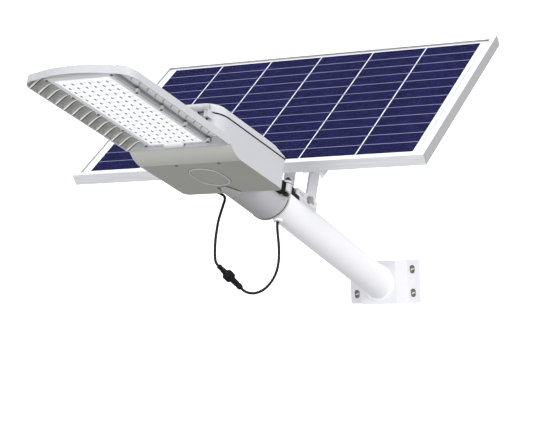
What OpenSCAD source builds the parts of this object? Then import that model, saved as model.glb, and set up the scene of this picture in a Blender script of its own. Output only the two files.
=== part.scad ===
// Solar street lamp: wall bracket, inclined arm, lamp head and tilting solar panel.
// Units mm, +Z up, +X to the right, the arm leans out along -Y, the wall is at y = 0.

/* [Display] */
// Which node to show ("all" for the whole assembly)

/* [Wall bracket] */
// Width of the bracket plate
plate_w = 150; // [140:2:170]
// Height of the bracket plate
plate_h = 85; // [80:1:100]
// Sheet thickness of the bracket
plate_t = 4; // [3:0.5:4.5]
// Depth of the raised middle of the bracket
hat_d = 32; // [30:1:34]
// Half the distance between the left and right slots
slot_x = 61; // [60:0.5:63]
// Half the distance between the upper and lower slots
slot_z = 23; // [20:0.5:27]
// Width of a mounting slot
slot_w = 8.5; // [6.5:0.5:9]
// End to end length of a mounting slot
slot_l = 15; // [10:1:18]

/* [Arm] */
// Outside diameter of the arm tube
arm_d = 60; // [59.8:0.1:60]
// Wall thickness of the arm tube
arm_wall = 2.5; // [2:0.5:3.5]
// Upward slope of the arm
arm_tilt = 23; // [23:0.5:24]

/* [Lamp head] */
// Upward slope of the lamp head
head_tilt = 20; // [19.5:0.5:20]
// Half width of the head
head_x = 98; // [97.5:0.5:98.5]
// Distance from the head origin to the nose
nose_u = 480; // [476:1:484]
// Number of cooling fins on each side
fin_n = 13; // [9:1:13]
// Thickness of a cooling fin
fin_t = 2.4; // [1.6:0.2:3]
// Thickness of the lid wall
lid_wall = 2.5; // [2:0.5:3]
// Rows of lenses along the head
led_rows = 17; // [10:1:17]
// Columns of lenses across the head
led_cols = 6; // [4:1:6]
// Distance from lens to lens
led_pitch = 15.6; // [14.6:0.2:15.6]

/* [Panel] */
// Width of the panel
panel_w = 716; // [700:2:730]
// Height of the panel
panel_h = 415; // [405:1:417]
// Thickness of the panel frame
panel_t = 21; // [20.5:0.5:21]
// Slope of the panel at rest
panel_tilt = 32; // [31.5:0.5:33]
// Sideways place of the panel centre
panel_x = -60; // [-66:1:-50]
// Columns of cells
cell_cols = 6; // [4:1:8]
// Thin collector strips across the cells
bus_n = 11; // [7:1:13]

/* [Lead] */
// Diameter of the lead
lead_d = 5; // [4.4:0.2:5.4]

/* [Hidden] */
$fn = 48;
e = 0.01;
ar = arm_d / 2;
y0 = hat_d;
piv_s = 353;
piv_n = 140;
gland = [-54, -5];
tube_end = 569;
plug_at = [-52, -548, 60];
lamp_route = [[-54, -552.3, 191.7], [-54, -547.6, 190], [-53.4, -541, 187.4], [-50.5, -533, 184.2], [-46.4, -526.6, 179],
  [-46, -527, 172], [-46.6, -531, 165], [-47.4, -535.4, 157], [-49, -540, 147], [-50.5, -544.5, 136],
  [-51.8, -547.6, 124], [-53, -550.2, 112], [-54, -552, 100], [-54.6, -553, 89], [-54.8, -553.6, 80],
  [-54.7, -553.6, 73], [-54.2, -553, 67.5], [-53.1, -550.8, 62.7], [-52, -548, 60]];
arm_route = [[0, -424.1, 130.5], [0, -426, 125.8], [0, -426.8, 119], [-0.2, -426, 110], [-0.4, -424.4, 98], [-0.6, -423.4, 86],
  [-1, -423.4, 74], [-1.6, -424.6, 62], [-2.8, -427.4, 50], [-4.8, -432, 39], [-7.6, -438.8, 29], [-11, -447.6, 20.4],
  [-15, -458, 13.4], [-19, -467.6, 9.6], [-22.6, -476.4, 8], [-26, -484.6, 8.2], [-29, -491.8, 10], [-31.4, -497.6, 12.6],
  [-32.9, -501.2, 15.3], [-34, -504, 18]];
rim_s = 450;

// ---------- frames ----------
// Arm frame: -Y runs up the arm, +Z is the arm's upper side
module arm_frame() translate([0, -y0, 0]) rotate([-arm_tilt, 0, 0]) children();
// Head frame: -Y runs to the nose, z = 0 is the plane of the window
module head_frame() arm_frame() translate([0, -600, 0]) rotate([arm_tilt - head_tilt, 0, 0])
  translate([0, 0, -24.2]) children();
// Pivot frame: the axis of the panel's tilt bolts, turned with the panel
module pivot_frame() arm_frame() translate([0, -piv_s, piv_n])
  rotate([arm_tilt + panel_tilt, 0, 0]) children();
// Panel frame: origin at the middle of the front face, +Z out of the glass
module panel_frame() pivot_frame() translate([panel_x, 65, 49]) children();

// ---------- helpers ----------
// Rounded rectangle, x0..x1, y0..y1, front radius a at the low y end, b at the high y end
module rr(x, ya, yb, a, b) {
  translate([-x, ya + a]) square([2 * x, yb - b - ya - a]);
  translate([-x + a, ya]) square([2 * (x - a), a + e]);
  translate([-x + b, yb - b - e]) square([2 * (x - b), b + e]);
  for (s = [-1, 1]) {
    translate([s * (x - a), ya + a]) circle(a);
    translate([s * (x - b), yb - b]) circle(b);
  }
}
// Outline of the front wing, moved in by d
module wing2d(d, back = -150) {
  bow = nose_u - 184.3;
  translate([-(head_x - d), -(nose_u - 43)]) square([2 * (head_x - d), back + nose_u - 43]);
  for (s = [-1, 1]) translate([s * (head_x - 30), -(nose_u - 43)]) circle(30 - d);
  intersection() {
    translate([0, -bow]) circle(184.3 - d, $fn = 120);
    translate([-(head_x - 30), -nose_u - 1]) square([2 * (head_x - 30), 60]);
  }
}
// Solid of round section along the arm, from s0 to s1
module along(s0, s1, r0, r1, f = 48) translate([0, -s0, 0]) rotate([90, 0, 0])
  cylinder(h = s1 - s0, r1 = r0, r2 = r1, $fn = f);
// Cylinder along X, centred on x
module xcyl(r, x0, x1, f = 32) translate([x0, 0, 0]) rotate([0, 90, 0]) cylinder(h = x1 - x0, r = r, $fn = f);
module hexx(af, x0, x1) translate([x0, 0, 0]) rotate([0, 90, 0]) cylinder(h = x1 - x0, d = af / cos(30), $fn = 6);
// Slot in a flat shape, along Y of the 2D plane
module slot2d(l, w) { for (s = [-1, 1]) translate([0, s * (l - w) / 2]) circle(w / 2); square([w, l - w], center = true); }
// Round lead swept along a route as one closed polyhedron
lead_plane = [0.92, -0.4, 0] / norm([0.92, -0.4, 0]);
function unit(v) = v / norm(v);
function tan_at(p, i) = unit(p[min(i + 1, len(p) - 1)] - p[max(i - 1, 0)]);
function ring(p, i, d, n) = let (t = tan_at(p, i), u = unit(cross(t, lead_plane)), v = cross(t, u))
  [for (k = [0 : n - 1]) p[i] + d / 2 * (cos(360 * k / n) * u + sin(360 * k / n) * v)];
module sweep(p, d, n = 10) {
  m = len(p);
  polyhedron(convexity = 8,
    points = [for (i = [0 : m - 1]) each ring(p, i, d, n)],
    faces = concat([[for (k = [0 : n - 1]) k]], [[for (k = [n - 1 : -1 : 0]) (m - 1) * n + k]],
      [for (i = [0 : m - 2], k = [0 : n - 1]) [i * n + k, (i + 1) * n + k, (i + 1) * n + (k + 1) % n]],
      [for (i = [0 : m - 2], k = [0 : n - 1]) [i * n + k, (i + 1) * n + (k + 1) % n, i * n + (k + 1) % n]]));
}

// ---------- wall bracket and arm ----------
module wall_bracket() color([0.93, 0.93, 0.94]) difference() {
  t = plate_t;
  union() {
  // centre rib, its back edge rests on the wall
  translate([-3, -y0 + 1, -plate_h / 2 + 8]) cube([6, y0 - 1, plate_h - 16]);
  intersection() {
    translate([0, 0, -plate_h / 2]) linear_extrude(plate_h)
      polygon([[-plate_w / 2, 0], [-47, 0], [-35 + t * 0.3, -y0 + t], [35 - t * 0.3, -y0 + t], [47, 0],
        [plate_w / 2, 0], [plate_w / 2, -t], [47 + t * 0.6, -t], [35 + t * 0.7, -y0], [-35 - t * 0.7, -y0],
        [-47 - t * 0.6, -t], [-plate_w / 2, -t]]);
    rotate([90, 0, 0]) translate([0, 0, -1]) linear_extrude(60) rr(plate_w / 2, -plate_h / 2, plate_h / 2, 5, 5);
  }
  }
  for (x = [-slot_x, slot_x], z = [-slot_z, slot_z]) translate([x, 1, z]) rotate([90, 0, 0])
    linear_extrude(t + 2) slot2d(slot_l, slot_w);
}
module arm_tube() color([0.95, 0.95, 0.96]) difference() {
  arm_frame() along(-20, tube_end, ar, ar, 96);
  arm_frame() along(-30, tube_end + 1, ar - arm_wall, ar - arm_wall, 96);
  translate([-60, -y0, -60]) cube([120, 60, 120]);
  arm_frame() translate([0, -412, -ar - 2]) cylinder(h = 10, r = 5.5, $fn = 32);
}
module arm_weld() color([0.88, 0.88, 0.9]) difference() {
  union() {
    intersection() { arm_frame() along(-25, 30, ar + 3.5, ar + 3.5); translate([-60, -y0 - 2, -60]) cube([120, 2, 120]); }
    intersection() { arm_frame() along(-25, 30, ar + 2, ar + 2); translate([-60, -y0 - 4, -60]) cube([120, 4, 120]); }
  }
  arm_frame() along(-30, 40, ar, ar, 96);
}
module arm_grommet() color([0.06, 0.06, 0.07]) arm_frame() translate([0, -412, 0]) difference() {
  union() {
    translate([0, 0, -ar - 3]) cylinder(h = 8, r = 5.3, $fn = 32);
    difference() {
      translate([0, 0, -ar - 3]) cylinder(h = 6.5, r = 8.5, $fn = 32);
      rotate([90, 0, 0]) translate([0, 0, -20]) cylinder(h = 40, r = ar, $fn = 96);
    }
  }
  translate([0, 0, -ar - 8]) cylinder(h = 20, r = 2, $fn = 24);
}
// Saddle welded on top of the arm, the legs bolt to its sides
module arm_lug() color([0.9, 0.9, 0.92]) arm_frame() difference() {
  union() {
    for (s = [-1, 1]) translate([s * 20.9 - 1.9, -396, 17]) cube([3.8, 74, 20]);
    translate([-20, -396, 34]) cube([40, 74, 3]);
  }
  along(300, 420, ar, ar, 96);
  translate([0, -362, 26.8]) xcyl(4.1, -30, 30);
  translate([0, -345, 26.8]) xcyl(2.55, -30, 30);
}
module lug_bolts() color([0.45, 0.45, 0.47]) arm_frame() {
  for (s = [-1, 1]) scale([s, 1, 1]) {
    translate([0, -345, 26.8]) xcyl(2.5, 20, 28);
    translate([0, -362, 26.8]) {
      xcyl(4, 20, 29);
      xcyl(7, 27, 28.4);
      hexx(12, 28.4, 33.4);
    }
  }
}
// Rubber strips between the feet of the legs and the tube
module leg_pads() color([0.05, 0.05, 0.06]) arm_frame() difference() {
  for (s = [-1, 1]) {
    translate([s * 25.2 - 2.2, -428, 8]) cube([4.4, 96, 11.7]);
    translate([s * 25.2 - 2.2, -428, 8]) cube([4.4, 9, 18.5]);
  }
  along(300, 440, ar, ar, 96);
}
// Flat L-shaped leg with a foot along the arm
module leg2d() difference() {
  union() {
    translate([-17, 25]) square([34, piv_n - 25]);
    translate([0, piv_n]) circle(17);
    translate([-14, 19.8]) square([60, 14]);
    translate([-14, 26.8]) circle(7);
    translate([45, 19.8]) square([7, 14]);
    difference() { translate([16, 33]) square([9, 9]); translate([25, 42]) circle(8.2); }
  }
  translate([0, piv_n]) circle(4.05);
  translate([9, 26.8]) circle(4.1);
  translate([-8, 26.8]) circle(2.6);
  for (t = [29, 43]) translate([t, 26.4]) circle(2.8);
  translate([29, 26.4 - 2.8]) square([14, 5.6]);
}
module leg(x) color([0.9, 0.9, 0.92]) arm_frame() translate([x, -piv_s, 0]) rotate([90, 0, 0]) rotate([0, -90, 0])
  linear_extrude(4) leg2d();
module leg_left() leg(-23);
module leg_right() leg(27);

// ---------- lamp head ----------
module hood(d = 0, a = rim_s, b = 612) translate([0, 0, -5]) along(a, b, 40 - d + (a - rim_s) * 0.0125, 40 - d + (b - rim_s) * 0.0125, 96);
// Lower body behind the window, with a rounded front
module belly(d = 0) {
  translate([0, 0, -19.6 + d]) linear_extrude(50.6 - d) rr(97 - d, -120, 27 - d, 2, 12);
  intersection() {
    translate([0, -118, 40.5]) xcyl(60 - d, -97 + d, 97 - d, 96);
    translate([-100, -166, -30]) cube([200, 60, 38]);
  }
}
module fin(u, s) translate([0, -u, 0]) scale([s, 1, 1]) translate([0, fin_t / 2, 0]) rotate([90, 0, 0]) linear_extrude(fin_t)
  polygon([[96.6, -7.8], [94, -6.4], [91, -4], [87.5, -0.7], [84, 2.5], [80.5, 5.2], [77, 7.2], [74, 8.2], [74, 9], [82.5, 9],
    [82.5, 7], [90.5, 7], [90.5, 4], [96.6, 4]]);
module knuckle(x, w) translate([x - w / 2, -214.6, 36]) rotate([0, 90, 0]) cylinder(h = w, r = 6, $fn = 32);
clamp_xs = [for (x = [-48, 48], s = [480, 548]) [x, s]];
module clamp_lug(z0, z1) for (p = clamp_xs) translate([p[0], -p[1], z0]) {
  cylinder(h = z1 - z0, r = 9);
  translate([p[0] > 0 ? -16 : 0, -9, 0]) cube([16, 18, z1 - z0]);
}
module low_lug() difference() {
  clamp_lug(-20, 7);
  for (p = clamp_xs) translate([p[0], -p[1], -11]) rotate([-33, 0, 0]) translate([-30, -30, -40]) cube([60, 60, 40]);
}
module head_housing() color([0.78, 0.79, 0.81]) difference() {
  union() {
    difference() {
      union() {
        head_frame() {
          belly();
          translate([0, 0, 0]) linear_extrude(31) rr(97, -208, -100, 34, 2);
          translate([0, 0, -8]) linear_extrude(12.5) wing2d(0, -160);
          linear_extrude(8) wing2d(7);
          linear_extrude(11.5) wing2d(15);
          for (i = [-4 : 4]) translate([i * 16 - 1.5, -448, 11]) cube([3, 236, 3.5]);
          for (x = [-70, 70]) for (k = [-11, 11]) {
            knuckle(x + k, 7.6);
            translate([x + k - 3.8, -217, 20]) cube([7.6, 22, 11]);
            translate([x + k - 3.8, -217, 30]) cube([7.6, 8.4, 4]);
            translate([x + k - 3.8, -214.6, 30]) cube([7.6, 5, 5]);
          }
        }
        intersection() {
          union() {
            arm_frame() hood();
            arm_frame() translate([0, 0, -5]) along(rim_s, rim_s + 4, 40.8, 40.8, 96);
            arm_frame() low_lug();
          }
          arm_frame() translate([-80, -640, -80]) cube([160, 220, 87]);
          head_frame() translate([-100, 25.4, -150]) cube([200, 220, 260]);
        }
      }
      head_frame() {
        // inside of the box
        translate([0, 0, -14.9]) linear_extrude(60) rr(93.8, -118, 23.8, 2, 9);
        translate([0, 0, 11.5]) linear_extrude(60) rr(93.8, -204.8, -100, 31, 2);
        // seat of the bottom cover
        translate([0, 0, -20.6]) linear_extrude(2.5) rr(95.2, -118, 25.2, 2, 10);
        // underside of the wing
        for (p = [[1.8, -2.3], [3, 0.7], [5, 3.4], [8, 5.7], [12, 6.2], [16, 8]])
          translate([0, 0, -9]) linear_extrude(9 + p[1]) intersection() { wing2d(p[0], -150); translate([-200, -600]) square([400, 439.2 - p[0] / 5]); }
        // bores of the hinge
        for (x = [-70, 70]) translate([0, -214.6, 36]) xcyl(2.53, x - 20, x + 20);
        // gland hole
        translate([gland[0], 15, gland[1]]) rotate([-90, 0, 0]) cylinder(h = 20, r = 6.1);
      }
    }
    head_frame() {
      // pad under the light board, and fins
      translate([-56, -455, 3]) cube([112, 296, 5.5]);
      for (i = [0 : fin_n - 1], s = [-1, 1]) fin(165 + 23 * i, s);
      // screw posts for the lid
      for (x = [-70, 70]) translate([x, 14, -15.5]) cylinder(h = 46.5, r = 6);
    }
  }
  arm_frame() {
    along(rim_s - 2, tube_end + 1.2, ar + 0.2, ar + 0.2, 96);
    along(rim_s - 2, rim_s + 6, ar + 3.5, ar + 3.5, 96);
    translate([0, 0, -5]) difference() { along(rim_s + 4, rim_s + 6, 50, 50, 96); along(rim_s + 3, rim_s + 7, 38.4, 38.4, 96); }
    for (p = clamp_xs) translate([p[0], -p[1], -30]) { cylinder(h = 40, r = 3.3); cylinder(h = 22, r = 6.2); }
  }
  head_frame() {
    for (x = [-70, 70]) translate([x, 14, 10]) cylinder(h = 30, r = 2.5);
    for (p = screw_xy()) translate([p[0], -p[1], -1]) cylinder(h = 10.5, r = 1.5, $fn = 20);
    for (p = [[-29, 114], [52, 114]]) translate([p[0], -p[1], -25]) cylinder(h = 20, r = 1.25, $fn = 20);
  }
}
module arm_tip() translate([0, 0, 24.2]) rotate([head_tilt - arm_tilt, 0, 0]) translate([0, 600, 0]) {
  hood(0, 560, 600);
  translate([0, -600, -5]) rotate([90, 0, 0]) cylinder(h = 16, r1 = 40 + (600 - rim_s) * 0.0125, r2 = 36, $fn = 96);
}
module bottom_cover() color([0.56, 0.56, 0.54]) head_frame() difference() {
  union() {
    translate([0, 0, -19.6]) linear_extrude(1.5) rr(95, -117.8, 25, 2, 10);
    difference() {
      translate([0, 0, -20.4]) linear_extrude(1) union() { for (y = [-42, -66]) translate([0, y]) circle(28, $fn = 64); translate([-28, -66]) square([56, 24]); }
      translate([0, 0, -21]) linear_extrude(1.2) union() { for (y = [-42, -66]) translate([0, y]) circle(26.4, $fn = 64); translate([-26.4, -66]) square([52.8, 24]); }
    }
  }
  intersection() { arm_tip(); translate([-60, -16, -26]) cube([120, 41, 7.8]); }
  for (p = [[-29, 114], [52, 114]]) translate([p[0], -p[1], -25]) cylinder(h = 20, r = 1.3, $fn = 20);
}
module cover_screws() color([0.4, 0.4, 0.4]) head_frame() for (p = [[-29, 114], [52, 114]]) translate([p[0], -p[1], 0]) {
  translate([0, 0, -20.8]) difference() { cylinder(h = 1.2, r = 2.4, $fn = 24); translate([0, 0, -e]) cylinder(h = 0.7, r = 1.1, $fn = 6); }
  translate([0, 0, -19.7]) cylinder(h = 3.5, r = 1.2, $fn = 20);
}
module clamp_cap() color([0.76, 0.77, 0.79]) arm_frame() difference() {
  union() {
    intersection() { hood(0, 470, 571); translate([-70, -580, 8.5]) cube([140, 120, 70]); }
    clamp_lug(8.5, 12.5);
  }
  translate([-80, -640, -10]) cube([160, 67, 80]);
  along(460, 580, ar + 0.1, ar + 0.1, 96);
  along(486, 552, ar + 3, ar + 3, 96);
  for (p = clamp_xs) translate([p[0], -p[1], -5]) cylinder(h = 30, r = 3.3);
  head_rear_cut();
}
module head_rear_cut() translate([0, -600, 0]) rotate([arm_tilt - head_tilt, 0, 0]) translate([-120, -240, -60]) cube([240, 267.3, 160]);
module clamp_bolts() color([0.5, 0.46, 0.4]) arm_frame() for (p = clamp_xs) translate([p[0], -p[1], 0]) {
  translate([0, 0, -13]) cylinder(h = 5, d = 11.5, $fn = 6);
  translate([0, 0, -8.2]) cylinder(h = 28, r = 3, $fn = 32);
  translate([0, 0, 12.5]) cylinder(h = 1.2, r = 6, $fn = 32);
  translate([0, 0, 13.7]) cylinder(h = 3.4, d = 11.5, $fn = 6);
}
module socket_seal() color([0.07, 0.07, 0.08]) arm_frame() {
  difference() {
    along(rim_s + 0.5, rim_s + 5.9, ar + 3.4, ar + 3.4, 96);
    along(rim_s - 5, rim_s + 10, ar + 0.02, ar + 0.02, 96);
    translate([-60, -500, 6.9]) cube([120, 100, 60]);
  }
  // strips between the clamp lugs
  for (s = [-1, 1]) translate([s * 46.6 - 5, -538.8, -14]) cube([10, 49.6, 20.9]);
}

// ---------- light window ----------
function screw_xy() = [for (u = [166, 237, 308, 379, 450], s = [-1, 1]) [s * 58.6, u]];
module led_grid() for (i = [0 : led_cols - 1], j = [0 : led_rows - 1])
  translate([(i - (led_cols - 1) / 2) * led_pitch, -306 - (j - (led_rows - 1) / 2) * led_pitch, 0]) children();
module led_board() color([0.9, 0.9, 0.88]) head_frame() translate([-50, -444, 1.5]) cube([100, 276, 1.5]);
module led_chips() color([0.95, 0.85, 0.4]) head_frame() led_grid() translate([-1.75, -1.75, 0.8]) cube([3.5, 3.5, 0.7]);
module window_gasket() color([0.08, 0.08, 0.09]) head_frame() difference() {
  translate([-54, -448, 0.6]) cube([108, 284, 2.4]);
  translate([-50.2, -444.2, 0]) cube([100.4, 276.4, 4]);
}
module lens_plate() color([0.92, 0.95, 1, 0.6]) head_frame() {
  translate([-53.5, -447.5, -1]) cube([107, 283, 1.6]);
  led_grid() translate([0, 0, -2.6]) cylinder(h = 1.8, r1 = 4.4, r2 = 6.2, $fn = 24);
}
module window_bezel() color([0.85, 0.86, 0.88]) head_frame() difference() {
  union() {
    translate([-57, -455, -2.2]) cube([114, 293, 5.2]);
    for (p = screw_xy()) translate([p[0], -p[1], -2.2]) cylinder(h = 5.2, r = 3.8, $fn = 32);
  }
  translate([-54.2, -448.2, -1]) cube([108.4, 284.4, 6]);
  translate([-50.6, -444.6, -3]) cube([101.2, 277.2, 6]);
  for (p = screw_xy()) translate([p[0], -p[1], -4]) cylinder(h = 10, r = 1.7, $fn = 20);
}
module bezel_screws() color([0.25, 0.25, 0.27]) head_frame() for (p = screw_xy()) translate([p[0], -p[1], 0]) {
  difference() { translate([0, 0, -3.7]) cylinder(h = 1.5, r = 2.3, $fn = 24); translate([0, 0, -3.8]) cylinder(h = 1, r = 1.1, $fn = 6); }
  translate([0, 0, -2.3]) cylinder(h = 9.5, r = 1.45, $fn = 20);
}
module cable_cover() color([0.93, 0.93, 0.93]) head_frame() translate([-4, -167.8, 0]) {
  for (s = [-1, 1]) translate([s * 12, 0, 0]) { translate([0, 0, -6.2]) cylinder(h = 3.9, r = 6.2, $fn = 32); translate([0, 0, -7.6]) cylinder(h = 1.4, r1 = 4.4, r2 = 6.2, $fn = 32); }
  translate([-12, -6.2, -6.2]) cube([24, 12.4, 3.9]);
  translate([-12, -4.4, -7.6]) cube([24, 8.8, 1.5]);
  translate([-12, -5.8, -2.4]) cube([24, 4.6, 1.3]);
}

// ---------- inside the box ----------
module battery_tray() color([0.15, 0.15, 0.16]) head_frame() difference() {
  translate([-88, -98, -14.9]) cube([176, 84, 12]);
  translate([-85, -94, -13.4]) cube([170, 76, 30]);
}
module battery_cells() color([0.12, 0.3, 0.62]) head_frame() for (i = [-2 : 2]) translate([i * 33.4, -91.5, 3]) rotate([-90, 0, 0]) {
  cylinder(h = 70, r = 16.2); cylinder(h = 71, r = 6);
}
module battery_strap() color([0.7, 0.7, 0.72]) head_frame() {
  translate([-87.5, -66, 19.4]) cube([175, 20, 1.5]);
  for (s = [-1, 1]) translate([s * 86.5 - 1.5, -66, -2.9]) cube([3, 20, 22.3]);
}
module controller() color([0.16, 0.17, 0.2]) head_frame() {
  difference() {
    union() { translate([-48, -196, 11.5]) cube([96, 66, 16]); for (x = [-53, 53]) translate([x, -163, 11.5]) cylinder(h = 2.5, r = 7); }
    for (x = [-53, 53]) translate([x, -163, 11]) cylinder(h = 4, r = 2.1);
    for (i = [-3 : 3]) translate([i * 11 - 4, -133, 17]) cube([8, 5, 7]);
  }
}
module lid_gasket() color([0.04, 0.04, 0.05]) head_frame() translate([0, 0, 31]) linear_extrude(2.6) difference() {
  rr(96.4, -207.4, 26.4, 33.4, 11.4);
  rr(92.4, -203.4, 22.4, 29.4, 7.4);
}
module gland_body() color([0.09, 0.09, 0.1]) head_frame() translate([gland[0], 27, gland[1]]) rotate([-90, 0, 0]) difference() {
  union() {
    translate([0, 0, -8]) cylinder(h = 10, r = 6);
    cylinder(h = 4.5, d = 19, $fn = 6);
    translate([0, 0, 4.5]) cylinder(h = 4, r = 6);
    translate([0, 0, -7.4]) cylinder(h = 3.8, d = 18, $fn = 6);
  }
  translate([0, 0, -10]) cylinder(h = 30, r = 2, $fn = 24);
}
module gland_nut() color([0.09, 0.09, 0.1]) head_frame() translate([gland[0], 27, gland[1]]) rotate([-90, 0, 0]) difference() {
  union() { translate([0, 0, 4.6]) cylinder(h = 8, d = 18, $fn = 12); translate([0, 0, 12.6]) cylinder(h = 5, r1 = 8, r2 = 4.5); }
  translate([0, 0, 4]) cylinder(h = 5, r = 6.05);
  translate([0, 0, -10]) cylinder(h = 40, r = 2, $fn = 24);
}
module hinge_pins() color([0.6, 0.6, 0.62]) head_frame() for (x = [-70, 70]) translate([0, -214.6, 36]) {
  xcyl(2.5, x - 15.2, x + 15.2); xcyl(4, x - 17, x - 15.2);
}

// ---------- lid ----------
module lid_shell(d) hull() {
  translate([0, 0, 33.6]) linear_extrude(2.4) rr(97 - d, -208 + d, 27 - d, 34 - d, 12 - d);
  translate([0, 0, 43 - d * 0.4]) linear_extrude(0.5) rr(96 - d, -207 + d, -8 - d, 33 - d, 10 - d);
  translate([0, 0, 50.5 - d]) linear_extrude(0.5) rr(86 - d, -197 + d, -18 - d, 25, 8);
}
module lid() color([0.8, 0.81, 0.83]) head_frame() difference() {
  union() {
    difference() { lid_shell(0); translate([0, 0, -0.2]) lid_shell(lid_wall); translate([0, 0, 30]) linear_extrude(5) rr(94.5, -205.5, 24.5, 31.5, 9.5); }
    for (x = [-70, 70]) { knuckle(x, 13.6); translate([x - 6.8, -214.6, 36.4]) cube([13.6, 13, 5.6]); }
    for (x = [-70, 70]) translate([x, 14, 33.6]) cylinder(h = 4.5, r = 7);
    for (x = [-48, 0, 48]) translate([x - 2, -180, 50.5]) cube([4, 150, 1.5]);
  }
  for (x = [-70, 70]) translate([0, -214.6, 36]) xcyl(2.53, x - 20, x + 20);
  for (x = [-70, 70]) translate([x, 14, 30]) { cylinder(h = 30, r = 2.6, $fn = 24); translate([0, 0, 8.1]) cylinder(h = 20, r = 5.4); }
}
module lid_screws() color([0.35, 0.35, 0.37]) head_frame() for (x = [-70, 70]) translate([x, 14, 0]) {
  translate([0, 0, 32]) cylinder(h = 6.2, r = 2.4, $fn = 24);
  difference() { translate([0, 0, 38.1]) cylinder(h = 4, r = 4.8, $fn = 32); translate([0, 0, 40]) cylinder(h = 3, r = 2, $fn = 6); }
}

// ---------- panel and its support ----------
module tilt_bracket() color([0.88, 0.88, 0.9]) pivot_frame() difference() {
  union() {
    translate([-26.3, -17, 19]) cube([52.6, 34, 3]);
    for (s = [-1, 1]) translate([s * 20.7 - 2, 0, 0]) { translate([0, -15, 0]) cube([4, 30, 20]); xcyl(15, 0, 4, 48); }
    for (s = [-1, 1]) translate([s * 40 - 15, -17, 19]) cube([30, 34, 3]);
  }
  xcyl(4.05, -40, 40);
  for (s = [-1, 1]) translate([s * 42, 0, 18]) cylinder(h = 6, r = 4.2, $fn = 32);
}
module tilt_bolts() color([0.62, 0.62, 0.64]) pivot_frame() for (s = [-1, 1]) scale([s, 1, 1]) {
  xcyl(4, 10, 28.8);
  hexx(13, 28.6, 33.8);
  xcyl(8, 27.2, 28.6);
  hexx(13, 11.6, 18.4);
}
module cross_rail() color([0.85, 0.86, 0.88]) panel_frame() difference() {
  union() {
    translate([-150, -88, -27]) cube([300, 43, 3]);
    translate([-150, -88, -37]) cube([300, 3, 11]);
  }
  for (s = [-1, 1]) translate([-panel_x + s * 42, -65, -30]) linear_extrude(10) rotate(90) slot2d(30, 8.6);
  for (s = [-1, 1]) translate([s * 135, -65, -30]) cylinder(h = 10, r = 3.3, $fn = 32);
}
module rail(s) color([0.85, 0.86, 0.88]) panel_frame() difference() {
  union() {
    translate([s * 137.5 - 17.5, -panel_h / 2 + 2, -24]) cube([35, panel_h - 4, 3]);
    translate([s > 0 ? 152 : -155, -panel_h / 2 + 2, -38]) cube([3, panel_h - 4, 15]);
  }
  for (y = [-1, 1]) translate([s * 135, y * (panel_h / 2 - 12), -30]) cylinder(h = 10, r = 3.3, $fn = 32);
  translate([s * 135, -65, -30]) cylinder(h = 10, r = 3.3, $fn = 32);
}
module rail_left() rail(-1);
module rail_right() rail(1);
module bolt(r, z0, z1, af, hz) {
  translate([0, 0, z0]) cylinder(h = z1 - z0, r = r, $fn = 24);
  translate([0, 0, z0 - hz]) cylinder(h = hz, d = af / cos(30), $fn = 6);
}
module rail_bolts() color([0.62, 0.62, 0.64]) panel_frame() {
  for (s = [-1, 1], y = [-1, 1]) translate([s * 135, y * (panel_h / 2 - 12), 0]) {
    bolt(3, -24, -14, 10, 4);
    translate([0, 0, -panel_t + 1.6]) cylinder(h = 4.5, d = 10 / cos(30), $fn = 6);
  }
  for (s = [-1, 1]) translate([s * 135, -65, 0]) { bolt(3, -27, -14, 10, 4); translate([0, 0, -21]) cylinder(h = 5, d = 10 / cos(30), $fn = 6); }
  for (s = [-1, 1]) translate([-panel_x + s * 42, -65, 0]) { bolt(4, -30, -16, 13, 5); translate([0, 0, -24]) cylinder(h = 6, d = 13 / cos(30), $fn = 6); }
}
// One extrusion of the frame, w long, made at the low y side
module frame_bar(w, h) intersection() {
  translate([-w / 2, -h / 2, 0]) rotate([90, 0, 90]) linear_extrude(w)
    polygon([[0, 0], [9, 0], [9, -1.4], [1.8, -1.4], [1.8, -5.7], [9, -5.7], [9, -7.1], [1.8, -7.1],
      [1.8, -panel_t + 1.6], [20, -panel_t + 1.6], [20, -panel_t], [0, -panel_t]]);
  translate([0, 0, -panel_t - 1]) linear_extrude(panel_t + 2)
    polygon([[-w / 2, -h / 2], [w / 2, -h / 2], [w / 2 - 40, -h / 2 + 40], [-w / 2 + 40, -h / 2 + 40]]);
}
module flange_holes() for (s = [-1, 1], y = [-1, 1]) translate([s * 135, y * (panel_h / 2 - 12), -30]) cylinder(h = 15, r = 3.3, $fn = 32);
module frame_bottom() color([0.9, 0.91, 0.92]) panel_frame() difference() { frame_bar(panel_w, panel_h); flange_holes(); }
module frame_top() color([0.9, 0.91, 0.92]) panel_frame() difference() { scale([1, -1, 1]) frame_bar(panel_w, panel_h); flange_holes(); }
module frame_left() color([0.9, 0.91, 0.92]) panel_frame() rotate([0, 0, -90]) frame_bar(panel_h, panel_w);
module frame_right() color([0.9, 0.91, 0.92]) panel_frame() rotate([0, 0, 90]) frame_bar(panel_h, panel_w);
module corner_keys() color([0.7, 0.71, 0.72]) panel_frame() for (x = [-1, 1], y = [-1, 1]) scale([x, y, 1])
  translate([panel_w / 2 - 1.8, panel_h / 2 - 1.8, -panel_t + 1.6]) {
    translate([-36, -3, 0]) cube([36, 3, panel_t - 8.7]);
    translate([-3, -36, 0]) cube([3, 36, panel_t - 8.7]);
  }
module panel_glass() color([0.75, 0.82, 0.95, 0.3]) panel_frame() translate([-panel_w / 2 + 2, -panel_h / 2 + 2, -4.6]) cube([panel_w - 4, panel_h - 4, 3.2]);
module panel_cells() color([0.1, 0.11, 0.33]) panel_frame() {
  p = (panel_w - 54) / cell_cols;
  for (i = [0 : cell_cols - 1]) translate([-(panel_w - 54) / 2 + i * p + 1.3, -panel_h / 2 + 21, -5.1]) cube([p - 2.6, panel_h - 38, 0.3]);
}
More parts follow.
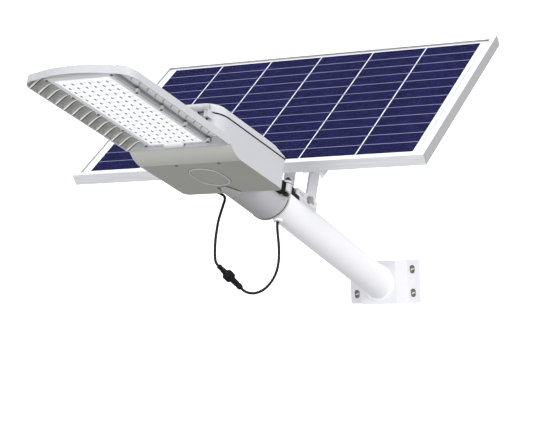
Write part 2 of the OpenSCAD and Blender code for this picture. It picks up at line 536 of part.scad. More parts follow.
module panel_ribbons() color([0.6, 0.6, 0.75]) panel_frame() {
  for (i = [1 : bus_n]) translate([-(panel_w - 54) / 2 + 1, -panel_h / 2 + 21 + i * (panel_h - 38) / (bus_n + 1) - 0.8, -4.8]) cube([panel_w - 56, 1.6, 0.2]);
  for (s = [-1, 1]) translate([s * (panel_w / 2 - 19) - 1, -panel_h / 2 + 48, -5.1]) cube([2, panel_h - 92, 0.3]);
}
module panel_backsheet() color([0.95, 0.95, 0.95]) panel_frame() translate([-panel_w / 2 + 2, -panel_h / 2 + 2, -5.6]) cube([panel_w - 4, panel_h - 4, 0.5]);
module junction_box() color([0.08, 0.08, 0.09]) panel_frame() translate([-panel_x * 0, 130, 0]) difference() {
  union() {
    translate([-42, -30, -17.6]) cube([84, 60, 12]);
    for (x = [-24, 24]) translate([x, -30, -12]) rotate([90, 0, 0]) cylinder(h = 12, r = 5, $fn = 24);
  }
  translate([-39.5, -27.5, -18.6]) cube([79, 55, 10.5]);
  for (x = [-24, 24]) translate([x, -24, -12]) rotate([90, 0, 0]) cylinder(h = 30, r = 2.6, $fn = 24);
}
module junction_lid() color([0.1, 0.1, 0.11]) panel_frame() translate([0, 130, 0]) {
  translate([-42, -30, -19.6]) cube([84, 60, 2]);
  difference() { translate([-39.3, -27.3, -17.7]) cube([78.6, 54.6, 2]); translate([-37.5, -25.5, -18]) cube([75, 51, 3]); }
}

// ---------- hanging lead with its two-part connector ----------
module conn_frame() translate(plug_at) rotate([0, acos(-42 / 63.4), atan2(44, 18)]) children();
module lamp_lead() color([0.05, 0.05, 0.06]) sweep(lamp_route, lead_d);
module arm_lead() color([0.05, 0.05, 0.06]) sweep(arm_route, lead_d);
module lead_plug() color([0.07, 0.07, 0.08]) conn_frame() { cylinder(h = 10, r1 = 3.6, r2 = 5.5); translate([0, 0, 10]) cylinder(h = 20, r = 7); }
module lead_socket() color([0.07, 0.07, 0.08]) conn_frame() {
  translate([0, 0, 30.1]) cylinder(h = 10, r = 8);
  translate([0, 0, 40]) cylinder(h = 12.5, r = 7.4);
  translate([0, 0, 52.5]) cylinder(h = 10.9, r1 = 5.5, r2 = 3.6);
}
module lead_nut() color([0.06, 0.06, 0.07]) conn_frame() difference() {
  union() { translate([0, 0, 22]) cylinder(h = 15, r = 9.6); for (a = [0 : 30 : 330]) rotate([0, 0, a]) translate([9.2, -1.4, 23]) cube([1.2, 2.8, 12]); }
  translate([0, 0, 20]) cylinder(h = 10.1, r = 7.05);
  translate([0, 0, 30]) cylinder(h = 10, r = 8.05);
}

// ---------- which node is shown ----------
wall_bracket();
arm_tube();
arm_weld();
arm_grommet();
arm_lug();
lug_bolts();
leg_pads();
leg_left();
leg_right();
head_housing();
bottom_cover();
cover_screws();
clamp_cap();
clamp_bolts();
socket_seal();
led_board();
led_chips();
window_gasket();
lens_plate();
window_bezel();
bezel_screws();
cable_cover();
battery_tray();
battery_cells();
battery_strap();
controller();
lid_gasket();
gland_body();
gland_nut();
hinge_pins();
lid();
lid_screws();
tilt_bracket();
tilt_bolts();
cross_rail();
rail_left();
rail_right();
rail_bolts();
frame_bottom();
frame_top();
frame_left();
frame_right();
corner_keys();
panel_glass();
panel_cells();
panel_ribbons();
panel_backsheet();
junction_box();
junction_lid();
lamp_lead();
arm_lead();
lead_plug();
lead_socket();
lead_nut();
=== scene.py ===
import bpy
import bmesh
import math
from mathutils import Vector, Matrix


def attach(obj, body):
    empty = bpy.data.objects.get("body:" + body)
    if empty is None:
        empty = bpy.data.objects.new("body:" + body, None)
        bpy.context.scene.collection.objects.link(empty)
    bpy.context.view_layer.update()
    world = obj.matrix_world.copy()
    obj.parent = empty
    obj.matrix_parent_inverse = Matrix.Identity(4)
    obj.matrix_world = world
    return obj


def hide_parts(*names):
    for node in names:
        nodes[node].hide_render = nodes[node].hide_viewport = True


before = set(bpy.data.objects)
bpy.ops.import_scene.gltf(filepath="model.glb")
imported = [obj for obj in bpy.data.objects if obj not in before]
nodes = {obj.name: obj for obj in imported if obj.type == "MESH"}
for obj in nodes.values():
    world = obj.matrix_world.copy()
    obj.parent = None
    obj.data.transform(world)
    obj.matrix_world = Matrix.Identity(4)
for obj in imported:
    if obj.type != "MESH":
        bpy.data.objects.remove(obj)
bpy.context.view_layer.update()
scene = bpy.context.scene

# ------------------------------------------------------------------ frames
MM = 0.001
AR, AH, AP = math.radians(23), math.radians(20), math.radians(32)


def arm(s, n, x=0.0):
    """A point s up the arm, n above its axis, in metres."""
    return Vector((x, -32 - s * math.cos(AR) + n * math.sin(AR), s * math.sin(AR) + n * math.cos(AR))) * MM


_o = arm(600, 0) / MM
HO = Vector((0, _o.y - 24.2 * math.sin(AH), _o.z - 24.2 * math.cos(AH)))


def head(x, u, z):
    """Head frame: u towards the nose, z up from the window plane."""
    return Vector((x, HO.y - u * math.cos(AH) + z * math.sin(AH), HO.z + u * math.sin(AH) + z * math.cos(AH))) * MM


HEAD_M = Matrix.Translation(HO * MM) @ Matrix.Rotation(-AH, 4, "X")
ARM_M = Matrix.Translation(Vector((0, -32, 0)) * MM) @ Matrix.Rotation(-AR, 4, "X")
PIV = arm(353, 140)
PANEL_M = Matrix.Translation(PIV) @ Matrix.Rotation(AP, 4, "X") @ Matrix.Translation(Vector((-60, 65, 49)) * MM)

# ------------------------------------------------------------------ camera
cam_data = bpy.data.cameras.new("camera")
cam = bpy.data.objects.new("camera", cam_data)
scene.collection.objects.link(cam)
back = Vector((0.48822163, -0.87270751, 0.00460784))
right = Vector((0.87183098, 0.48747946, -0.0476919))
up = Vector((0.03937485, 0.02730148, 0.99885147))
m = Matrix.Identity(4)
for i in range(3):
    m[i][0], m[i][1], m[i][2] = right[i], up[i], back[i]
m.translation = Vector((1.6218, -3.3590, 0.1585))
cam.matrix_world = m
cam_data.sensor_width = 36
cam_data.lens = 1900 * 36 / 535
cam_data.clip_end = 60
scene.camera = cam
scene.view_settings.view_transform = "Standard"
scene.view_settings.look = "None"


# ------------------------------------------------------------------ helpers
def link(name, me):
    o = bpy.data.objects.new(name, me)
    scene.collection.objects.link(o)
    return o


def mesh(name, verts, faces, smooth=True):
    me = bpy.data.meshes.new(name)
    me.from_pydata([tuple(v) for v in verts], [], faces)
    me.validate()
    bm = bmesh.new()
    bm.from_mesh(me)
    bmesh.ops.recalc_face_normals(bm, faces=bm.faces)
    bm.to_mesh(me)
    bm.free()
    for p in me.polygons:
        p.use_smooth = smooth
    return link(name, me)


def put(o, mat_, body="base", rep=()):
    o.data.materials.clear()
    o.data.materials.append(mat_)
    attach(o, body)
    if rep:
        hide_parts(*rep)
    return o


# ------------------------------------------------------------------ materials
def new_mat(name):
    mt = bpy.data.materials.new(name)
    mt.use_nodes = True
    nt = mt.node_tree
    bs = nt.nodes["Principled BSDF"]
    return mt, nt, bs


def noise(nt, scale, detail=3, rough=0.5, vec=None):
    n = nt.nodes.new("ShaderNodeTexNoise")
    n.inputs["Scale"].default_value = scale
    n.inputs["Detail"].default_value = detail
    n.inputs["Roughness"].default_value = rough
    if vec is not None:
        nt.links.new(vec, n.inputs["Vector"])
    return n


def coords(nt, sx=1, sy=1, sz=1, rot=(0, 0, 0)):
    tc = nt.nodes.new("ShaderNodeTexCoord")
    mp = nt.nodes.new("ShaderNodeMapping")
    mp.inputs["Scale"].default_value = (sx, sy, sz)
    mp.inputs["Rotation"].default_value = rot
    nt.links.new(tc.outputs["Object"], mp.inputs["Vector"])
    return mp.outputs["Vector"]


def ramp(nt, fac, stops):
    r = nt.nodes.new("ShaderNodeValToRGB")
    el = r.color_ramp.elements
    while len(el) < len(stops):
        el.new(0.5)
    for e_, (p, c) in zip(el, stops):
        e_.position = p
        e_.color = (*c, 1) if len(c) == 3 else c
    nt.links.new(fac, r.inputs["Fac"])
    return r.outputs["Color"]


def bump(nt, bs, height, strength, dist):
    b = nt.nodes.new("ShaderNodeBump")
    b.inputs["Strength"].default_value = strength
    b.inputs["Distance"].default_value = dist
    nt.links.new(height, b.inputs["Height"])
    nt.links.new(b.outputs["Normal"], bs.inputs["Normal"])
    return b


def lin(r, g, b):
    f = lambda c: c / 255 / 12.92 if c / 255 <= 0.04045 else ((c / 255 + 0.055) / 1.055) ** 2.4
    return (f(r), f(g), f(b))


def mul(c, k):
    return tuple(min(1.0, v * k) for v in c)


def powder(name, col, rough=0.45, peel=0.25, var=0.04, grain=900.0, metallic=0.0, dirt=0.0):
    """Powder coat: orange-peel bump, fine speckle and slow colour drift."""
    mt, nt, bs = new_mat(name)
    v = coords(nt)
    slow = noise(nt, 9, 4, 0.6, v)
    c = ramp(nt, slow.outputs["Fac"], [(0.3, mul(col, 1 - var)), (0.7, mul(col, 1 + var))])
    fine = noise(nt, grain * 2.2, 2, 0.5, v)
    mix = nt.nodes.new("ShaderNodeMix")
    mix.data_type = "RGBA"
    mix.blend_type = "MULTIPLY"
    mix.inputs["Factor"].default_value = 1.0
    sp = ramp(nt, fine.outputs["Fac"], [(0.32, (1 - 1.5 * var,) * 3), (0.5, (1, 1, 1)), (0.7, (1, 1, 1))])
    nt.links.new(c, mix.inputs[6])
    nt.links.new(sp, mix.inputs[7])
    nt.links.new(mix.outputs[2], bs.inputs["Base Color"])
    rr = nt.nodes.new("ShaderNodeMapRange")
    nt.links.new(slow.outputs["Fac"], rr.inputs["Value"])
    rr.inputs["To Min"].default_value = rough - 0.06
    rr.inputs["To Max"].default_value = rough + 0.06
    nt.links.new(rr.outputs["Result"], bs.inputs["Roughness"])
    bs.inputs["Metallic"].default_value = metallic
    peeln = noise(nt, grain, 2, 0.55, v)
    bump(nt, bs, peeln.outputs["Fac"], peel, 0.0006)
    return mt


def brushed(name, col, rough=0.35, metallic=1.0, sx=1, sy=1, sz=1, strength=0.12):
    mt, nt, bs = new_mat(name)
    v = coords(nt, sx, sy, sz)
    n = noise(nt, 300, 3, 0.6, v)
    c = ramp(nt, n.outputs["Fac"], [(0.3, mul(col, 0.9)), (0.7, mul(col, 1.06))])
    nt.links.new(c, bs.inputs["Base Color"])
    bs.inputs["Metallic"].default_value = metallic
    rr = nt.nodes.new("ShaderNodeMapRange")
    nt.links.new(n.outputs["Fac"], rr.inputs["Value"])
    rr.inputs["To Min"].default_value = rough - 0.08
    rr.inputs["To Max"].default_value = rough + 0.1
    nt.links.new(rr.outputs["Result"], bs.inputs["Roughness"])
    bump(nt, bs, n.outputs["Fac"], strength, 0.0003)
    return mt


def plastic(name, col, rough=0.5, grain=1500.0, strength=0.15, var=0.06):
    mt, nt, bs = new_mat(name)
    v = coords(nt)
    n = noise(nt, grain, 2, 0.5, v)
    s = noise(nt, 40, 3, 0.5, v)
    c = ramp(nt, s.outputs["Fac"], [(0.3, mul(col, 1 - var)), (0.7, mul(col, 1 + var))])
    nt.links.new(c, bs.inputs["Base Color"])
    rr = nt.nodes.new("ShaderNodeMapRange")
    nt.links.new(s.outputs["Fac"], rr.inputs["Value"])
    rr.inputs["To Min"].default_value = rough - 0.07
    rr.inputs["To Max"].default_value = rough + 0.07
    nt.links.new(rr.outputs["Result"], bs.inputs["Roughness"])
    bump(nt, bs, n.outputs["Fac"], strength, 0.0003)
    return mt


M_WHITE = powder("white_coat", lin(243, 243, 246), 0.38, 0.12, 0.012, 700)
M_BRACKET = powder("bracket_coat", lin(232, 232, 236), 0.42, 0.15, 0.02, 800)
def facing_shade_coat(name, down, side, rough=0.46, axis=2, lo=-0.95, hi=-0.1):
    """Powder coat with painted shade set by the way a face looks: by default faces that look down get a warmer, darker
    colour.
    """
    mt, nt, bs = new_mat(name)
    v = coords(nt)
    tc = nt.nodes.new("ShaderNodeTexCoord")
    sp = nt.nodes.new("ShaderNodeSeparateXYZ")
    nt.links.new(tc.outputs["Normal"], sp.inputs[0])
    mr = nt.nodes.new("ShaderNodeMapRange")
    mr.inputs["From Min"].default_value = lo
    mr.inputs["From Max"].default_value = hi
    nt.links.new(sp.outputs[axis], mr.inputs["Value"])
    c = ramp(nt, mr.outputs["Result"], [(0.0, down), (0.45, mul(down, 1.12)), (1.0, side)])
    slow = noise(nt, 9, 4, 0.6, v)
    k = ramp(nt, slow.outputs["Fac"], [(0.3, (0.97,) * 3), (0.7, (1.0,) * 3)])
    mix = nt.nodes.new("ShaderNodeMix")
    mix.data_type = "RGBA"
    mix.blend_type = "MULTIPLY"
    mix.inputs["Factor"].default_value = 1.0
    nt.links.new(c, mix.inputs[6])
    nt.links.new(k, mix.inputs[7])
    nt.links.new(mix.outputs[2], bs.inputs["Base Color"])
    bs.inputs["Roughness"].default_value = rough
    peeln = noise(nt, 900, 2, 0.55, v)
    bump(nt, bs, peeln.outputs["Fac"], 0.22, 0.0006)
    return mt


# painted shade: frame faces that look along +X get the darker grey, the rest the lighter one
M_FRAME_S = facing_shade_coat("frame_side_painted_shade", lin(222, 223, 226), lin(163, 163, 164), 0.45, 0, 0.3, 0.8)
# painted shade: down-facing faces of the cast housing and clamp cap get the warmer, darker grey
M_CAST = facing_shade_coat("cast_coat", lin(182, 182, 177), lin(188, 189, 193))
M_LID = powder("lid_coat", lin(190, 191, 195), 0.45, 0.2, 0.03, 900)
# painted shade: the bottom cover's grey is a darker, warmer copy of the housing coat for its down-facing side
M_COVER = powder("cover_coat_painted_shade", lin(157, 157, 149), 0.5, 0.2, 0.03, 900)
M_BEZEL = powder("bezel_coat", lin(226, 228, 231), 0.34, 0.12, 0.02, 900, 0.1)
M_FRAME = brushed("frame_anodised", lin(222, 223, 226), 0.42, 0.12, 0.05, 1, 1, 0.06)
M_RAIL = brushed("rail_aluminium", lin(238, 239, 242), 0.45, 0.15, 0.2, 1, 1, 0.1)
M_ZINC = brushed("zinc_steel", lin(186, 184, 180), 0.34, 1.0)
M_DARKST = brushed("dark_steel", lin(74, 74, 78), 0.38, 1.0)
M_RUBBER = plastic("rubber", lin(10, 10, 12), 0.62, 900, 0.3, 0.12)
M_RUBBER.node_tree.nodes["Principled BSDF"].inputs["Specular IOR Level"].default_value = 0.12
M_BLACK = plastic("black_plastic", lin(20, 20, 26), 0.45, 1400, 0.2, 0.1)
M_BLACK.node_tree.nodes["Principled BSDF"].inputs["Specular IOR Level"].default_value = 0.12
M_CORD = plastic("cord_jacket", lin(34, 33, 43), 0.55, 700, 0.12, 0.08)
M_CORD.node_tree.nodes["Principled BSDF"].inputs["Specular IOR Level"].default_value = 0.12
# painted light: the socket nose is a lighter copy of the cover grey, as it looks more to the front
M_NOSE = powder("nose_painted_light", lin(168, 168, 164), 0.5, 0.2, 0.02, 900)
M_COVE = powder("cove_coat", lin(166, 166, 161), 0.48, 0.2, 0.03, 900)
# painted light: near-white coat that lifts the shaded floor strip of the right-hand wing
M_FLOOR_LIGHT = powder("floor_painted_light", lin(236, 237, 236), 0.5, 0.2, 0.02, 900)
# painted shadow: grey streaks for the shade beside the fin roots on the light floor
M_ROOT = powder("root_shade", lin(176, 177, 175), 0.5, 0.2, 0.03, 900)
# painted shade: grey for the shaded inside of the wall-flange slots
M_SLOT_SHADE = brushed("slot_painted_shade", lin(128, 126, 116), 0.5, 0.2)
M_SCREWG = brushed("grey_steel", lin(128, 125, 120), 0.4, 0.8)
# yellow-zinc tone darkened to brown-black: partly the zinc colour, partly painted shade of the bolt heads in their
# counterbores
M_BOLTBR = brushed("yellow_zinc_and_shade", lin(52, 41, 36), 0.5, 0.9)
M_GROOVE = plastic("groove_shade", lin(62, 62, 66), 0.6, 900, 0.2, 0.08)
# painted shadow beside the fins
M_FLANK = powder("flank_shade", lin(70, 68, 64), 0.55, 0.2, 0.03, 900)
M_CREST_HIGHLIGHT = powder("crest_painted_highlight", lin(248, 248, 247), 0.3, 0.1, 0.01, 900)
M_PLATE = powder("plate_coat", lin(228, 228, 232), 0.42, 0.14, 0.012, 800)
M_WHITEPL = plastic("white_plastic", lin(240, 240, 240), 0.4, 1200, 0.08, 0.01)
M_BOARD = plastic("board_mask", lin(240, 242, 244), 0.35, 2000, 0.05, 0.02)
M_LED = plastic("led_phosphor", lin(250, 226, 120), 0.3, 2500, 0.05, 0.03)
M_BATT = plastic("battery_sleeve", lin(30, 86, 176), 0.25, 500, 0.06, 0.05)
M_SHEET = plastic("backsheet", lin(244, 244, 246), 0.5, 900, 0.06, 0.008)
M_RIBBON = brushed("ribbon_tinned", lin(138, 138, 178), 0.4, 0.4, 1, 1, 1, 0.1)


def cell_material():
    """Polycrystalline silicon: angular crystals in close blues, with fine printed lines."""
    mt, nt, bs = new_mat("poly_cells")
    v = coords(nt, 1, 1, 1)
    vo = nt.nodes.new("ShaderNodeTexVoronoi")
    vo.inputs["Scale"].default_value = 95
    vo.inputs["Randomness"].default_value = 1
    nt.links.new(v, vo.inputs["Vector"])
    sep = nt.nodes.new("ShaderNodeSeparateColor")
    nt.links.new(vo.outputs["Color"], sep.inputs["Color"])
    c = ramp(nt, sep.outputs[0], [(0.0, lin(15, 16, 56)), (0.5, lin(18, 20, 64)), (1.0, lin(24, 25, 74))])
    # fine horizontal fingers, 2.2 mm apart down the slope
    w = nt.nodes.new("ShaderNodeTexWave")
    w.wave_type = "BANDS"
    w.bands_direction = "Y"
    w.inputs["Scale"].default_value = 0.314159 / (0.0031 * math.cos(AP))
    w.inputs["Distortion"].default_value = 0
    nt.links.new(v, w.inputs["Vector"])
    f = ramp(nt, w.outputs["Fac"], [(0.86, (1, 1, 1)), (1.0, (1.14, 1.14, 1.1))])
    mix = nt.nodes.new("ShaderNodeMix")
    mix.data_type = "RGBA"
    mix.blend_type = "MULTIPLY"
    mix.inputs["Factor"].default_value = 0.8
    nt.links.new(c, mix.inputs[6])
    nt.links.new(f, mix.inputs[7])
    nt.links.new(mix.outputs[2], bs.inputs["Base Color"])
    bs.inputs["Roughness"].default_value = 0.45
    bs.inputs["Specular IOR Level"].default_value = 0.02
    return mt


def clear_material(name, tint, gloss_ior, rough):
    """Thin clear sheet: lets light straight through and adds a faint gloss."""
    mt = bpy.data.materials.new(name)
    mt.use_nodes = True
    nt = mt.node_tree
    nt.nodes.clear()
    out = nt.nodes.new("ShaderNodeOutputMaterial")
    tr = nt.nodes.new("ShaderNodeBsdfTransparent")
    tr.inputs["Color"].default_value = (*tint, 1)
    gl = nt.nodes.new("ShaderNodeBsdfGlossy")
    v = coords(nt)
    n = noise(nt, 14, 3, 0.5, v)
    rr = nt.nodes.new("ShaderNodeMapRange")
    nt.links.new(n.outputs["Fac"], rr.inputs["Value"])
    rr.inputs["To Min"].default_value = rough * 0.7
    rr.inputs["To Max"].default_value = rough * 1.3
    nt.links.new(rr.outputs["Result"], gl.inputs["Roughness"])
    lw = nt.nodes.new("ShaderNodeLayerWeight")
    lw.inputs["Blend"].default_value = 0.5
    g = gloss_ior
    fac = ramp(nt, lw.outputs["Facing"], [(0.0, (0.006 * g,) * 3), (0.6, (0.009 * g,) * 3), (0.88, (0.06 * g,) * 3), (1.0, (0.4,) * 3)])
    mx = nt.nodes.new("ShaderNodeMixShader")
    nt.links.new(fac, mx.inputs["Fac"])
    nt.links.new(tr.outputs[0], mx.inputs[1])
    nt.links.new(gl.outputs[0], mx.inputs[2])
    nt.links.new(mx.outputs[0], out.inputs["Surface"])
    return mt


M_CELLS = cell_material()
M_PANE = clear_material("panel_pane", (0.98, 0.985, 0.99), 0.3, 0.1)


def lens_material():
    mt, nt, bs = new_mat("lens_plate")
    v = coords(nt)
    n = noise(nt, 60, 2, 0.5, v)
    c = ramp(nt, n.outputs["Fac"], [(0.3, lin(240, 243, 247)), (0.7, lin(252, 253, 255))])
    nt.links.new(c, bs.inputs["Base Color"])
    bs.inputs["Roughness"].default_value = 0.12
    bs.inputs["Subsurface Weight"].default_value = 0.2
    bs.inputs["Subsurface Radius"].default_value = (0.004, 0.004, 0.004)
    # painted light: a faint white glow on the lens plate
    bs.inputs["Emission Color"].default_value = (1, 1, 1, 1)
    bs.inputs["Emission Strength"].default_value = 0.28
    return mt


M_LENS = lens_material()

def pad_material():
    """Black rubber at the clamp end, bare coat further down."""
    mt, nt, bs = new_mat("pad_two_tone")
    v = coords(nt)
    sp = nt.nodes.new("ShaderNodeSeparateXYZ")
    nt.links.new(v, sp.inputs[0])
    mr = nt.nodes.new("ShaderNodeMapRange")
    mr.inputs["From Min"].default_value = -0.392
    mr.inputs["From Max"].default_value = -0.388
    nt.links.new(sp.outputs[1], mr.inputs["Value"])
    c = ramp(nt, mr.outputs["Result"], [(0.0, lin(14, 14, 16)), (1.0, lin(214, 214, 218))])
    nt.links.new(c, bs.inputs["Base Color"])
    n = noise(nt, 900, 2, 0.5, v)
    bs.inputs["Roughness"].default_value = 0.6
    bs.inputs["Specular IOR Level"].default_value = 0.2
    bump(nt, bs, n.outputs["Fac"], 0.2, 0.0005)
    return mt


M_PAD = pad_material()

SLOT_MAT = {
    "wall_bracket": M_PLATE, "arm_tube": M_WHITE, "arm_weld": M_WHITE, "arm_grommet": M_WHITEPL,
    "arm_lug": M_BRACKET, "lug_bolts": M_ZINC, "leg_pads": M_PAD, "leg_left": M_BRACKET, "leg_right": M_BRACKET,
    "head_housing": M_CAST, "bottom_cover": M_COVER, "cover_screws": M_SCREWG, "clamp_cap": M_CAST,
    "clamp_bolts": M_BOLTBR, "socket_seal": M_RUBBER, "led_board": M_BOARD, "led_chips": M_LED,
    "window_gasket": M_RUBBER, "lens_plate": M_LENS, "window_bezel": M_BEZEL, "bezel_screws": M_SCREWG,
    "cable_cover": M_WHITEPL, "battery_tray": M_BLACK, "battery_cells": M_BATT, "battery_strap": M_ZINC,
    "controller": M_BLACK, "lid_gasket": M_RUBBER, "gland_body": M_BLACK, "gland_nut": M_BLACK,
    "hinge_pins": M_ZINC, "lid": M_LID, "lid_screws": M_DARKST, "tilt_bracket": M_BRACKET,
    "tilt_bolts": M_ZINC, "cross_rail": M_RAIL, "rail_left": M_RAIL, "rail_right": M_RAIL,
    "rail_bolts": M_ZINC, "frame_bottom": M_FRAME, "frame_top": M_FRAME, "frame_left": M_FRAME,
    "frame_right": M_FRAME_S, "corner_keys": M_RAIL, "panel_glass": M_PANE, "panel_cells": M_CELLS,
    "panel_ribbons": M_RIBBON, "panel_backsheet": M_SHEET, "junction_box": M_BLACK,
    "junction_lid": M_BLACK, "lamp_lead": M_CORD, "arm_lead": M_CORD, "lead_plug": M_BLACK,
    "lead_socket": M_BLACK, "lead_nut": M_BLACK,
}
for n_, o_ in nodes.items():
    o_.data.materials.clear()
    o_.data.materials.append(SLOT_MAT[n_])

# ------------------------------------------------------------------ leads
LAMP = [(-54, -552.3, 191.7), (-54, -547.6, 190), (-53.4, -541, 187.4), (-50.5, -533, 184.2), (-46.4, -526.6, 179),
        (-46, -527, 172), (-46.6, -531, 165), (-47.4, -535.4, 157), (-49, -540, 147), (-50.5, -544.5, 136),
        (-51.8, -547.6, 124), (-53, -550.2, 112), (-54, -552, 100), (-54.6, -553, 89), (-54.8, -553.6, 80),
        (-54.7, -553.6, 73), (-54.2, -553, 67.5), (-53.1, -550.8, 62.7), (-52, -548, 60)]
ARM = [(0, -424.1, 130.5), (0, -426, 125.8), (0, -426.8, 119), (-0.2, -426, 110), (-0.4, -424.4, 98), (-0.6, -423.4, 86),
       (-1, -423.4, 74), (-1.6, -424.6, 62), (-2.8, -427.4, 50), (-4.8, -432, 39), (-7.6, -438.8, 29), (-11, -447.6, 20.4),
       (-15, -458, 13.4), (-19, -467.6, 9.6), (-22.6, -476.4, 8), (-26, -484.6, 8.2), (-29, -491.8, 10),
       (-31.4, -497.6, 12.6), (-32.9, -501.2, 15.3), (-34, -504, 18)]
CORD_D = 0.005


def cord_curve(name, pts):
    cu = bpy.data.curves.new(name, "CURVE")
    cu.dimensions = "3D"
    sp = cu.splines.new("BEZIER")
    P = [Vector(p) * MM for p in pts]
    sp.bezier_points.add(len(P) - 1)
    for i, b in enumerate(sp.bezier_points):
        b.co = P[i]
        a = P[max(i - 1, 0)]
        c = P[min(i + 1, len(P) - 1)]
        d = (c - a).normalized()
        b.handle_left_type = b.handle_right_type = "FREE"
        b.handle_left = P[i] - d * (P[i] - a).length / 3
        b.handle_right = P[i] + d * (c - P[i]).length / 3
    cu.bevel_depth = CORD_D / 2
    cu.bevel_resolution = 5
    cu.resolution_u = 8
    cu.use_fill_caps = True
    o = bpy.data.objects.new(name, cu)
    scene.collection.objects.link(o)
    cu.materials.append(M_CORD)
    L = 0
    for i in range(len(P) - 1):
        b1, b2 = sp.bezier_points[i], sp.bezier_points[i + 1]
        prev = b1.co.copy()
        for k in range(1, 13):
            t = k / 12
            q = (1 - t) ** 3 * b1.co + 3 * (1 - t) ** 2 * t * b1.handle_right + 3 * (1 - t) * t * t * b2.handle_left + t ** 3 * b2.co
            L += (q - prev).length
            prev = q
    return o, L


lamp_cord, len_lamp = cord_curve("lamp_cord", LAMP)
arm_cord, len_arm = cord_curve("arm_cord", ARM)
for o_, n_ in ((lamp_cord, "lamp_lead"), (arm_cord, "arm_lead")):
    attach(o_, "base")
    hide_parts(n_)
print("cord lengths", len_lamp, len_arm)


# lathe along an axis
def lathe(name, prof, origin, axis, seg=48, ribs=None):
    """prof: list of (distance along axis, radius) in mm. ribs: {index: (count, depth)}."""
    ax = Vector(axis).normalized()
    ref = Vector((1, 0, 0)) if abs(ax.x) < 0.8 else Vector((0, 0, 1))
    u_ = ax.cross(ref).normalized()
    v_ = ax.cross(u_)
    V, F = [], []
    for i, (d, r) in enumerate(prof):
        for k in range(seg):
            a = 2 * math.pi * k / seg
            rr_ = r
            if ribs and i in ribs:
                cnt, dep = ribs[i]
                ph = (k * cnt / seg) % 1.0
                rr_ = r - (dep if ph >= 0.5 else 0)
            V.append(Vector(origin) * MM + (ax * d + u_ * (rr_ * math.cos(a)) + v_ * (rr_ * math.sin(a))) * MM)
    for i in range(len(prof) - 1):
        for k in range(seg):
            a, b = i * seg + k, i * seg + (k + 1) % seg
            F.append((a, b, b + seg, a + seg))
    F.append(tuple(range(seg - 1, -1, -1)))
    F.append(tuple(range((len(prof) - 1) * seg, len(prof) * seg)))
    o = mesh(name, V, F)
    return o


CA, CV = Vector((-52, -548, 60)), Vector((18, 44, -42))
plug = lathe("plug_body", [(0, 3.2), (0.5, 4.1), (1.2, 4.5), (4, 4.7), (5.2, 4.4), (5.7, 3.6), (7, 3.6), (7.6, 4.4), (13, 4.9), (19, 5.4), (20.4, 6.2),
                           (21.4, 6.9), (30, 6.9)], CA, CV)
nut = lathe("coupling_nut", [(20.6, 7.0), (21.4, 8.4), (22.4, 9.3), (23.2, 9.8), (33.4, 9.8), (34.2, 9.3), (35.2, 8.4), (36, 7.0)], CA, CV, 96,
            {3: (22, 0.8), 4: (22, 0.8)})
sock = lathe("socket_body", [(34.6, 6.9), (37, 6.7), (38.2, 6.0), (39, 5.6), (50.5, 5.4), (51.6, 4.7), (53.4, 4.5), (54, 5.2), (58, 5.4), (60.6, 5.1),
                             (61.6, 4.3), (62.6, 3.6), (63.4, 3.0)], CA, CV)
put(plug, M_BLACK, "base", ["lead_plug"])
put(nut, M_BLACK, "base", ["lead_nut"])
put(sock, M_BLACK, "base", ["lead_socket"])

# ------------------------------------------------------------------ wing underside
def outline(n_side=14, n_arc=15, n_bow=22, d=0.0):
    """Points (x, u) of the wing's edge moved in by d, from the back left round the nose to the back right."""
    bu, br, cu, cr = 295.7, 184.3 - d, 437.0, 30.0 - d
    half = []
    for i in range(n_side):
        half.append((98.0 - d, 164 + (cu - 164) * i / n_side))
    dx, du = 68.0, cu - bu
    ta = math.atan2(du, dx)
    for i in range(n_arc):
        t = ta * i / n_arc
        half.append((dx + cr * math.cos(t), cu + cr * math.sin(t)))
    px, pu = dx + cr * math.cos(ta), cu + cr * math.sin(ta)
    rr0 = math.hypot(px, pu - bu)
    for i in range(n_bow + 1):
        t = ta + (math.pi / 2 - ta) * i / n_bow
        k = min(1.0, i / 5)
        rad = rr0 * (1 - k) + br * k
        half.append((rad * math.cos(t), bu + rad * math.sin(t)))
    left = [(-x, u) for x, u in half]
    return left[:-1] + half[::-1]


COVE = [(1.7, -7.95), (1.75, -6.2), (1.9, -4.6), (2.5, -2.8), (3.6, -0.9), (5.2, 1.0), (7.4, 2.9), (10, 4.4), (13, 5.4), (16, 5.95),
        (20, 6.9), (24, 7.6), (28, 7.85)]


def cove_z(inset):
    for (a, za), (b, zb) in zip(COVE, COVE[1:]):
        if inset <= b:
            return za + (zb - za) * max(0.0, (inset - a)) / (b - a)
    return COVE[-1][1]


V, F = [], []
rows_ = [outline(d=d) for d, z in COVE]
ncol = len(rows_[0])
for (d, z), pts in zip(COVE, rows_):
    for x, u in pts:
        V.append(head(x, u, z))
for r in range(len(COVE) - 1):
    for c in range(ncol - 1):
        F.append((r * ncol + c, r * ncol + c + 1, (r + 1) * ncol + c + 1, (r + 1) * ncol + c))
cove = mesh("wing_cove", V, F)
put(cove, M_COVE, "base")

CREST = [(97.4, -7.95), (96.6, -7.9), (94, -6.5), (91, -4.1), (87.5, -0.9), (84, 2.0), (80.5, 4.4), (77, 6.1), (74, 7.0), (71, 7.4), (68, 7.9)]


def fin_strip(profile):
    """One strip per fin; profile(h) gives (offset along u, height share) pairs from the crest to the root."""
    V, F = [], []
    for sgn in (-1, 1):
        for i in range(13):
            u0 = 165 + 23 * i
            base = len(V)
            ns = len(profile)
            for x, zc in CREST:
                zr = cove_z(98 - x) + 0.15
                h = max(0.2, zr - zc)
                wide = min(1.0, 0.35 + h / 4)
                for du, k, dz in profile:
                    V.append(head(sgn * x, u0 + du * wide, zc + k * h + dz))
            for r in range(len(CREST) - 1):
                for c in range(ns - 1):
                    F.append((base + r * ns + c, base + r * ns + c + 1, base + (r + 1) * ns + c + 1, base + (r + 1) * ns + c))
    return V, F
